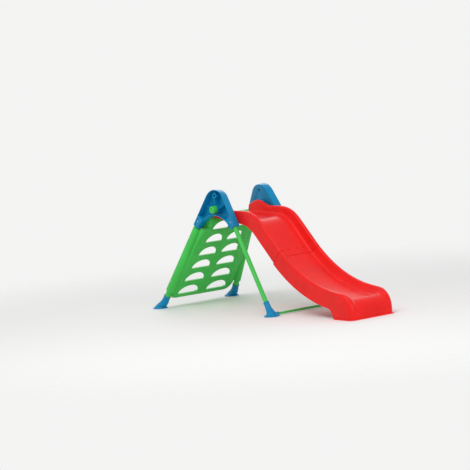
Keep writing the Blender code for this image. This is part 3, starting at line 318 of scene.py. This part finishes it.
def flared_foot(name, reach, leg_radius, shift):
    """A foot for the leg that stands at this reach, with its disc shifted along the ground."""
    base = leg_point(reach, 0) + Vector((shift, 0, 0))
    axis = (leg_point(reach, foot_height) - leg_point(reach, 0)).normalized()
    neck = leg_radius + foot_wall
    flare = disc_radius - neck
    bpy.ops.mesh.primitive_cylinder_add(
        vertices=64, radius=disc_radius, depth=disc_height, location=base + Vector((0, 0, disc_height / 2)))
    foot = bpy.context.object
    foot.name = name
    bpy.ops.object.transform_apply()
    select_faces(foot, lambda face: face.normal.z > 0.9)
    centre = base + Vector((0, 0, disc_height))
    radius, lean = disc_radius, Vector((0, 0, 1))
    # Height, share of the way from the disc to the leg, and share of the flare that is left
    for height, share, left in (
        (0.008, 0.02, 0.88), (0.0105, 0.07, 0.74), (0.014, 0.17, 0.60), (0.020, 0.36, 0.46),
        (0.028, 0.60, 0.33), (0.038, 0.84, 0.21), (0.055, 1.0, 0.09), (0.075, 1.0, 0.03),
        (0.094, 1.0, 0.0), (0.095, 1.0, 0.06), (0.0995, 1.0, 0.06), (foot_height, 1.0, 0.02),
    ):
        goal = base.lerp(leg_point(reach, height), share)
        goal.z = height
        bpy.ops.mesh.extrude_region_move(TRANSFORM_OT_translate={"value": goal - centre})
        size = (neck + flare * left) / radius
        bpy.ops.transform.resize(value=(size, size, size), center_override=goal)
        turned = Vector((0, 0, 1)).lerp(axis, share)
        about_y = math.atan2(turned.x, turned.z) - math.atan2(lean.x, lean.z)
        about_x = math.atan2(lean.y, lean.z) - math.atan2(turned.y, turned.z)
        bpy.ops.transform.rotate(value=-about_y, orient_axis="Y", center_override=goal)
        bpy.ops.transform.rotate(value=-about_x, orient_axis="X", center_override=goal)
        centre, radius, lean = goal, neck + flare * left, turned
    bpy.ops.mesh.inset(thickness=radius - leg_radius - slack)
    bpy.ops.mesh.extrude_region_move(TRANSFORM_OT_translate={"value": -axis * foot_height * 0.7})
    select_faces(foot, lambda face: face.normal.z < -0.9 and face.calc_center_median().z < 0.001)
    bpy.ops.mesh.inset(thickness=disc_radius * 0.38)
    bpy.ops.mesh.extrude_region_move(TRANSFORM_OT_translate={"value": (0, 0, foot_recess)})
    bpy.ops.object.mode_set(mode="OBJECT")
    return foot


for place, reach, radius, shift in (
    ("front", -front_reach, front_radius, front_foot_shift),
    ("rear", rear_reach, rear_radius, 0),
):
    foot = flared_foot(f"{place}_foot_moulding_right", reach, radius, shift)
    if place == "rear":
        base = leg_point(reach, 0)
        sleeve_end = base.y + disc_radius + foot_wall
        bar_end = base.y + bar_depth
        bpy.ops.mesh.primitive_cylinder_add(
            vertices=40, radius=bar_height, depth=sleeve_end - bar_end + foot_wall,
            rotation=(math.pi / 2, 0, 0),
            location=(base.x, (sleeve_end + bar_end - foot_wall) / 2, bar_height))
        cut(foot, "UNION")
        bpy.ops.mesh.primitive_cylinder_add(
            vertices=40, radius=bar_radius + slack, depth=bar_bore,
            rotation=(math.pi / 2, 0, 0), location=(base.x, bar_end + bar_bore / 2, bar_height))
        cut(foot)
    apply_modifier(
        foot, "BEVEL", width=moulded_edge, segments=2, limit_method="ANGLE", angle_limit=math.radians(55))
    other = twin(foot, f"{place}_foot_moulding_left")
    complete(foot, blue_plastic, "frame", "blue", f"{place}_foot_right")
    complete(other, blue_plastic, "frame", "blue", f"{place}_foot_left")

# Brackets
# One blue arch a side, moulded hollow and open outwards, with ribs, a seat for the pivot and a ring near
# the top. Each is pushed down over the ends of two legs and held by a screw into each.

bracket_edge = 0.0010


def softened(name, node, radius):
    """A copy of a CAD node with its triangles joined into whole faces. The bevel rounds its edges only as
    far as the shortest of them allows, which is far less than this radius."""
    source = frame["nodes"][node]
    piece = bpy.data.objects.new(name, source.data.copy())
    bpy.context.collection.objects.link(piece)
    only(piece)
    bpy.ops.mesh.customdata_custom_splitnormals_clear()
    bpy.ops.object.mode_set(mode="EDIT")
    bpy.ops.mesh.select_all(action="SELECT")
    bpy.ops.mesh.remove_doubles(threshold=0.00002)
    bpy.ops.mesh.dissolve_limited(angle_limit=math.radians(0.5))
    bpy.ops.object.mode_set(mode="OBJECT")
    apply_modifier(piece, "BEVEL", width=radius, segments=3, limit_method="ANGLE", angle_limit=smooth_angle)
    return piece


for side in ("right", "left"):
    bracket = softened(f"bracket_moulding_{side}", f"bracket_{side}", bracket_edge)
    complete(bracket, blue_plastic, "frame", "blue", f"bracket_{side}")

# Climbing panel
# A large green moulding with two columns of holes for hands and feet, ledges on the climbing side, and a
# sleeve down each edge. The sleeves slide over the front legs and are screwed to them.

panel_edge = 0.0022
panel = softened("climbing_panel_moulding", "climbing_panel", panel_edge)
complete(panel, green_plastic, "frame", "green", "climbing_panel")

# Screws
# Zinc-plated cross-head screws, turned in from outside: one through each bracket into each leg, and two
# through each sleeve of the panel.

steel = moulded("zinc_steel", (0.56, 0.57, 0.58), 0.33, 2500)
steel.node_tree.nodes["Principled BSDF"].inputs["Metallic"].default_value = 1
along = (frame_point(1, 0) - frame_point(0, 0)).normalized()
inward = (frame_point(0, 1) - frame_point(0, 0)).cross(along).normalized()
bracket_depth = 0.060
bracket_screw_drop = 0.095
bracket_screw_sink = 0.005
sleeve_wall = 0.0090
panel_screw_heights = (0.220, 0.560)
panel_screw_sink = 0.0015


def pan_head(name, head, shank, length):
    """A screw with its seat at the origin: a low domed head with a cross cut in it, on a plain shank."""
    rise = head * 0.45
    slot_length = head * 1.1
    slot_width = head * 0.2
    into_head = 0.001
    bpy.ops.object.select_all(action="DESELECT")
    bpy.ops.mesh.primitive_cylinder_add(vertices=40, radius=head, depth=rise, location=(0, 0, rise / 2))
    made = bpy.context.object
    made.name = name
    bpy.ops.object.transform_apply()
    select_faces(made, lambda face: face.normal.z > 0.9)
    bpy.ops.mesh.bevel(offset=rise * 0.8, segments=5, affect="EDGES")
    bpy.ops.object.mode_set(mode="OBJECT")
    for scale in ((slot_length, slot_width, rise), (slot_width, slot_length, rise)):
        bpy.ops.mesh.primitive_cube_add(size=1, location=(0, 0, rise), scale=scale)
        cut(made)
    bpy.ops.mesh.primitive_cylinder_add(
        vertices=24, radius=shank, depth=length, location=(0, 0, (into_head - length) / 2))
    cut(made, "UNION")
    return made


def placed(master, name, seat, outward):
    """A copy of a screw or bolt, with its own mesh, on its seat."""
    only(master)
    bpy.ops.object.duplicate()
    made = bpy.context.object
    made.name = name
    made.matrix_world = Matrix.Translation(seat) @ outward.to_track_quat("Z", "Y").to_matrix().to_4x4()
    bpy.ops.object.transform_apply()
    return made


screw = pan_head("screw", head=0.0060, shank=0.0022, length=0.0125)
seats = {}
out_of_leg = front_radius + sleeve_wall - panel_screw_sink
for number, height in enumerate(panel_screw_heights, 1):
    seats[f"panel_screw_{number}"] = leg_point(-front_reach, height) - inward * out_of_leg
out_of_leg = bracket_depth / 2 - bracket_screw_sink
for place, reach in (("front", -front_reach), ("rear", rear_reach)):
    seats[f"bracket_screw_{place}"] = leg_point(reach, pivot.z - bracket_screw_drop) - inward * out_of_leg
for node, seat in seats.items():
    right = placed(screw, f"{node}_cross_head_right", seat - inward * slack, -inward)
    left = twin(right, f"{node}_cross_head_left")
    complete(right, steel, "frame", "fastener", f"{node}_right")
    complete(left, steel, "frame", "fastener", f"{node}_left")
bpy.data.objects.remove(screw)

# Upper piece of the chute
# A moulded red trough, open below, with rounded side walls that rise into an ear round each pivot. One wall
# 4 mm thick runs from skirt to skirt, stiffened by cross ribs hidden under the bed.

red_plastic = moulded("red_plastic", (0.830, 0.010, 0.008), 0.30, 800, scuffs=0.18)
chute_half = 0.196
head_half = 0.191
exit_half = 0.203
chute_wall = 0.004
rim_width = 0.034
rim_drop = 0.40
nose_rim = 2.2
hem_width = 0.008
back_depth = 0.050
bed_depth = 0.068
nose_depth = 0.055
upper_bed_half = 0.150
lower_bed_half = 0.136
rib_thickness = 0.0035
rib_depth = 0.030
pivot_hole = 0.0103
chute_back = -0.105
chute_front = 1.477
bend_start = 0.270
bend_radius = 0.300
steep_angle = math.radians(45)
runout_radius = 1.074
runout_angle = math.radians(8)
nose_start = 1.360
exit_crest = 0.1895
foot_start = 1.190
foot_radius = 0.075
ear_reach = 0.150
ear_height = 0.043
crest_height = pivot.z - 0.013
seam_offset = 0.030
seam_skirt = 0.120

bend_end = bend_start + bend_radius * math.sin(steep_angle)
bend_drop = bend_radius * (1 - math.cos(steep_angle))
start_height = crest_height - bend_drop + bend_end * math.tan(steep_angle)
start_height -= runout_radius * (math.cos(runout_angle) - math.cos(steep_angle))
flat_run = nose_start - runout_radius * (math.sin(steep_angle) - math.sin(runout_angle))
straight_end = start_height - flat_run * math.tan(runout_angle) - exit_crest
straight_end /= math.tan(steep_angle) - math.tan(runout_angle)
seam = straight_end + seam_offset


def crest_at(x):
    """Height and slope of the side wall's crest, with X measured from the pivot."""
    if x <= bend_start:
        return crest_height, 0.0
    if x <= bend_end:
        slope = math.asin((x - bend_start) / bend_radius)
        return crest_height - bend_radius * (1 - math.cos(slope)), slope
    height = crest_height - bend_drop
    if x <= straight_end:
        return height - (x - bend_end) * math.tan(steep_angle), steep_angle
    height -= (straight_end - bend_end) * math.tan(steep_angle)
    middle = straight_end + runout_radius * math.sin(steep_angle)
    slope = max(math.asin((middle - x) / runout_radius), runout_angle)
    drop = runout_radius * (math.cos(slope) - math.cos(steep_angle))
    on_arc = middle - runout_radius * math.sin(slope)
    return height - drop - (x - on_arc) * math.tan(slope), slope


def blend(x, *pairs):
    """A size that changes evenly from place to place."""
    for (x0, value0), (x1, value1) in zip(pairs, pairs[1:]):
        if x < x1:
            return value0 + (value1 - value0) * max(0.0, x - x0) / (x1 - x0)
    return pairs[-1][1]


def half_section(x, skirt):
    """The trough's section from the hem of the skirt to the middle, as width and height over the crest."""
    depth = blend(
        x, (chute_back, back_depth), (bend_start, bed_depth), (seam, bed_depth), (nose_start, nose_depth),
        (chute_front, 0))
    half = blend(
        x, (ear_reach, head_half), (bend_start * 1.5, chute_half), (foot_start, chute_half),
        (nose_start, exit_half))
    half_bed = blend(x, (bend_start, upper_bed_half), (straight_end, lower_bed_half))
    ear = ear_height * math.cos(min(abs(x) / ear_reach, 1) * math.pi / 2) ** 2
    corner = rim_width * blend(x, (nose_start - rim_width, 1.0), (chute_front, nose_rim))
    shallow = min(1.0, depth / nose_depth)
    ridge = half - corner * 0.36
    hem = min(hem_width, skirt / 4)
    # Up the skirt, round the outer corner to the ridge, over the rim and down to the dished bed
    return (
        (half, -skirt), (half, hem - skirt), (half, ear - corner * rim_drop),
        (half - corner * 0.10, ear - corner * 0.12), (ridge, ear), (ridge - rim_width * 0.28, ear),
        (ridge - rim_width * 0.54, ear - rim_width * 0.15 * shallow),
        (ridge - rim_width * 0.64, ear - rim_width * 0.45 * shallow),
        (half_bed + 0.008, 0.012 * shallow - depth), (half_bed, 0.003 * shallow - depth),
        (half_bed - 0.020, -depth), (0.0, -depth),
    )


def bed_below_crest(x):
    """How far the middle of the bed lies below the crest, which is the same for any skirt."""
    return -half_section(x, seam_skirt)[-1][1]


def moved_in(line, distance):
    """A line of the section, moved to its hidden side, which lies to the right of its direction."""
    rights = []
    for (y0, z0), (y1, z1) in zip(line, line[1:]):
        length = math.hypot(y1 - y0, z1 - z0)
        rights.append(((z1 - z0) / length, (y0 - y1) / length))
    moved = []
    for i, (y, z) in enumerate(line):
        (ay, az), (by, bz) = rights[max(i - 1, 0)], rights[min(i, len(rights) - 1)]
        share = distance / (1 + ay * by + az * bz)
        moved.append((y + (ay + by) * share, z + (az + bz) * share))
    return moved


def trough(name, stations, lap=0.0, lap_end=0.0):
    """A flat sheet, folded to the section row by row and laid along the crest, still open for editing."""
    columns = 2 * len(half_section(0, seam_skirt)) - 1
    bpy.ops.object.select_all(action="DESELECT")
    bpy.ops.mesh.primitive_grid_add(x_subdivisions=len(stations) - 1, y_subdivisions=columns - 1, size=1)
    sheet = bpy.context.object
    sheet.name = name
    bpy.ops.object.mode_set(mode="EDIT")
    bpy.ops.mesh.select_all(action="DESELECT")
    corners = bmesh.from_edit_mesh(sheet.data).verts
    corners = sorted(corners, key=lambda corner: (round(corner.co.x, 5), round(corner.co.y, 5)))
    rows = [corners[i * columns:(i + 1) * columns] for i in range(len(stations))]
    for row, (x, height, slope, skirt) in zip(rows, stations):
        half = half_section(x, skirt)
        line = [(-y, z) for y, z in half] + [(y, z) for y, z in reversed(half[:-1])]
        if x < lap_end:
            line = moved_in(line, lap)
        for corner, (y, z) in zip(row, line):
            corner.select = True
            bpy.ops.transform.translate(value=Vector((x, y, z)) - corner.co)
            corner.select = False
        for corner in row:
            corner.select = True
        bpy.ops.transform.rotate(value=-slope, orient_axis="Y", center_override=(x, 0, 0))
        bpy.ops.transform.translate(value=(pivot.x, 0, height))
        for corner in row:
            corner.select = False
    return sheet, rows


def thicken(sheet):
    """Rounds the folded sheet and gives it its wall, on the hidden side."""
    bpy.ops.object.mode_set(mode="OBJECT")
    apply_modifier(sheet, "SUBSURF", levels=2, render_levels=2, boundary_smooth="PRESERVE_CORNERS")
    apply_modifier(sheet, "SOLIDIFY", thickness=chute_wall, offset=-1, use_even_offset=True)


def add_rib(chute, x, width):
    """A stiffening rib below the bed, square to it."""
    height, slope = crest_at(x)
    depth = bed_below_crest(x) + chute_wall * 0.5 + rib_depth / 2
    place = Vector((pivot.x + x - depth * math.sin(slope), 0, height - depth * math.cos(slope)))
    bpy.ops.mesh.primitive_cube_add(
        size=1, location=place, rotation=(0, slope, 0), scale=(rib_thickness, width, rib_depth))
    cut(chute, "UNION")


def upper_skirt(x):
    """The depth of the skirt below the crest: shallow between the brackets and deep at the seam."""
    return blend(x, (chute_back, 0.056), (bend_start * 0.75, 0.096), (bend_start * 1.5, seam_skirt))


steps = 14
places = [chute_back + (bend_start - chute_back) * step / steps for step in range(steps + 1)]
steps = 6
places += [bend_start + bend_radius * math.sin(steep_angle * step / steps) for step in range(1, steps + 1)]
places += [bend_end + (straight_end - bend_end) * share for share in (0.33, 0.67, 1.0)]
places += [seam - 0.008, seam]
stations = [(x, *crest_at(x), upper_skirt(x)) for x in places]
upper = trough("upper_chute", stations)[0]
thicken(upper)
for x in (chute_back + 0.02, bend_start * 0.5, bend_start, bend_end):
    add_rib(upper, x, width=0.25)
for side in (-1, 1):
    bpy.ops.mesh.primitive_cylinder_add(
        vertices=48, radius=pivot_hole, depth=chute_wall * 3, rotation=(math.pi / 2, 0, 0),
        location=(pivot.x, side * (head_half - chute_wall / 2), pivot.z))
    cut(upper)
complete(upper, red_plastic, "chute", "red", "chute_upper")

# Lower piece of the chute
# The second moulding slips under the upper one, where it is narrower by a wall, and runs out level. Its nose
# rolls over and down to the ground, and a low lip runs round its foot.

lap = chute_wall + 0.0008
overlap = 0.085
lip_top = 0.004
lip_reach = 0.011
exit_skirt = 0.137
joggle = (-0.006, 0.0003, 0.0016, 0.007)


def lower_skirt(x):
    """The depth of the skirt: as the upper piece's under the lap, and deeper by a step below the seam."""
    if x < seam:
        return seam_skirt
    return blend(x, (straight_end, 0.133), (foot_start, exit_skirt))


def foot_edge(share):
    """The hem at the exit, by its share of the way down a quarter circle and then forward on the ground."""
    end = chute_front - rim_width * (rim_drop * nose_rim + 0.2)
    curve = foot_radius * math.pi / 2
    gone = share * (curve + end - foot_start - foot_radius)
    turn = min(gone, curve) / foot_radius
    forward = foot_start + foot_radius * math.sin(turn) + max(0.0, gone - curve)
    return forward, lip_top + foot_radius * math.cos(turn)


# The last rows of the lap and the first ones below it lie close together, on both sides of the joggle
places = [seam - overlap, seam - overlap / 2] + [seam + offset for offset in joggle]
steps = 11
first_slope = crest_at(seam + 0.02)[1]
middle = straight_end + runout_radius * math.sin(steep_angle)
for step in range(steps + 1):
    slope = first_slope + (runout_angle - first_slope) * step / steps
    places.append(middle - runout_radius * math.sin(slope))
arc_end = places[-1]
places += [arc_end + (nose_start - arc_end) * share for share in (0.25, 0.5, 0.75, 1.0)]
stations = [(x, *crest_at(x), lower_skirt(x)) for x in places]
nose_height, nose_slope = crest_at(nose_start)
nose_radius = (chute_front - nose_start) / (1 - math.sin(nose_slope))
steps = 7
for step in range(1, steps + 1):
    turn = nose_slope + (math.radians(90) - nose_slope) * step / steps
    x = nose_start + nose_radius * (math.sin(turn) - math.sin(nose_slope))
    height = nose_height + nose_radius * (math.cos(turn) - math.cos(nose_slope))
    stations.append((x, height, turn, exit_skirt))
for height in (lip_top + 0.009, lip_top):
    stations.append((chute_front, height, math.radians(90), exit_skirt))
lower, rows = trough("lower_chute", stations, lap, seam + 0.001)
on_foot = [i for i, station in enumerate(stations) if station[0] > foot_start + foot_radius * 0.3]
for count, i in enumerate(on_foot, 1):
    x, z = foot_edge(count / len(on_foot))
    for end, hem, side in ((0, 1, 2), (-1, -2, -3)):
        edge = Vector((pivot.x + x, rows[i][side].co.y, z))
        up = rows[i][side].co - edge
        lift = up.normalized() * min(hem_width, up.length / 3)
        for corner, goal in ((rows[i][end], edge), (rows[i][hem], edge + lift)):
            corner.select = True
            bpy.ops.transform.translate(value=goal - corner.co)
            corner.select = False

# The lip: the hem on the ground is drawn outwards in two steps
mesh = bmesh.from_edit_mesh(lower.data)
lip_start = pivot.x + foot_start + foot_radius - 0.004
bpy.ops.mesh.select_mode(type="EDGE")
for edge in mesh.edges:
    low = all(corner.co.z < lip_top + 0.0005 and corner.co.x > lip_start for corner in edge.verts)
    edge.select = low and edge.is_boundary
half = exit_half
length = pivot.x + chute_front - lip_start
for reach in (lip_reach * 0.25, lip_reach * 0.75):
    bpy.ops.mesh.extrude_edges_move()
    growth = ((length + reach) / length, (half + reach) / half, 1)
    bpy.ops.transform.resize(value=growth, center_override=(lip_start, 0, 0))
    half += reach
    length += reach
thicken(lower)
for share in (0.0, 0.33, 0.67, 1.0):
    add_rib(lower, seam + overlap + (nose_start - seam - overlap) * share, width=0.225)
complete(lower, red_plastic, "chute", "red", "chute_lower")

# Bolts of the chute
# Four bolts with low red heads hold the two pieces together where their beds overlap, with a steel nut
# below each.

bolt_places = (-0.100, -0.040, 0.040, 0.100)
lapped = seam - overlap / 2
height, slope = crest_at(lapped)
out = Vector((math.sin(slope), 0, math.cos(slope)))
bolt = pan_head("bolt", head=0.0090, shank=0.0040, length=0.0155)
on_bed = Vector((pivot.x + lapped, 0, height)) + out * (slack - bed_below_crest(lapped))
for number, y in enumerate(bolt_places, 1):
    made = placed(bolt, f"section_bolt_{number}_red", on_bed + Vector((0, y, 0)), out)
    complete(made, red_plastic, "chute", "fastener", f"section_bolt_{number}")
    nut = frame["nodes"][f"section_nut_{number}"]
    nut.data.materials.clear()
    nut.data.materials.append(steel)
bpy.data.objects.remove(bolt)

# Pivot knobs
# Green knobs with a shank, through the bracket's seat and the chute's side wall into a green nut inside the
# wall. The chute hangs on them and can be lifted at its exit.

knob_radius = 0.0290
knob_length = 0.0440
knob_edge = 0.0065
knob_dish = 0.0040
collar_edge = 0.0020
shank_radius = 0.0100
seat_length = 0.0490
nut_depth = 0.0120
seat = head_half + seat_length + slack
shank = seat_length + chute_wall + nut_depth + slack * 4
bpy.ops.object.select_all(action="DESELECT")
bpy.ops.mesh.primitive_cylinder_add(
    vertices=64, radius=knob_radius, depth=knob_length, rotation=(math.pi / 2, 0, 0),
    location=(pivot.x, -seat - knob_length / 2, pivot.z))
knob = bpy.context.object
knob.name = "pivot_knob_moulding_right"
bpy.ops.object.transform_apply()
select_faces(knob, lambda face: face.normal.y < -0.9)
bpy.ops.mesh.bevel(offset=knob_edge, segments=6, affect="EDGES")
select_faces(knob, lambda face: face.normal.y < -0.9999)
bpy.ops.mesh.inset(thickness=0.0050)
bpy.ops.mesh.extrude_region_move(TRANSFORM_OT_translate={"value": (0, knob_dish, 0)})
bpy.ops.transform.resize(value=(0.86, 1, 0.86), center_override=(pivot.x, 0, pivot.z))
select_faces(knob, lambda face: face.normal.y > 0.9 and face.calc_center_median().y > -seat - 0.001)
bpy.ops.mesh.bevel(offset=collar_edge, segments=3, affect="EDGES")
select_faces(knob, lambda face: face.normal.y > 0.9999 and face.calc_center_median().y > -seat - 0.001)
bpy.ops.mesh.inset(thickness=knob_radius - collar_edge - shank_radius)
bpy.ops.mesh.extrude_region_move(TRANSFORM_OT_translate={"value": (0, shank, 0)})
bpy.ops.object.mode_set(mode="OBJECT")
other = twin(knob, "pivot_knob_moulding_left")
complete(knob, green_plastic, "frame", "green", "pivot_knob_right")
complete(other, green_plastic, "frame", "green", "pivot_knob_left")
for side in ("right", "left"):
    nut = frame["nodes"][f"pivot_nut_{side}"]
    nut.data.materials.clear()
    nut.data.materials.append(green_plastic)

low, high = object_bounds()
